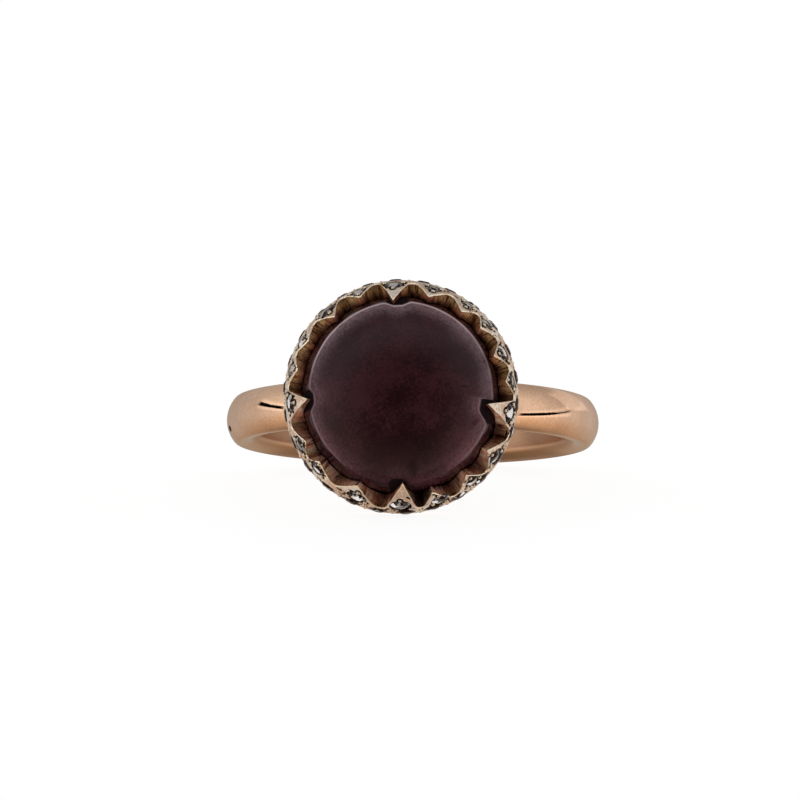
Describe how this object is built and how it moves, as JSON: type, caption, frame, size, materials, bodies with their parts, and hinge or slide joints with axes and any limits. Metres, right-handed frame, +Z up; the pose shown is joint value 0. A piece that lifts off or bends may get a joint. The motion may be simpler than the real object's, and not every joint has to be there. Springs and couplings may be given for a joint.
{
  "type": "finger ring with a round cabochon",
  "caption": "Gold finger ring with a half-round shank and a round bowl setting whose rim is cut into points round a dark red cabochon.",
  "frame": {"origin": "on the table under the middle of the ring as it lies on its side, at the centre of its box", "axes": "+X along the width of the shank's circle, -Y towards the stone's dome, +Z up from the table"},
  "size_m": [0.021, 0.0266, 0.0126],
  "materials": {
    "rose_gold": "polished",
    "garnet": "polished"
  },
  "bodies": {
    "root": {"gold_mount": "rose_gold", "garnet_cabochon": "garnet"}
  },
  "joints": []
}
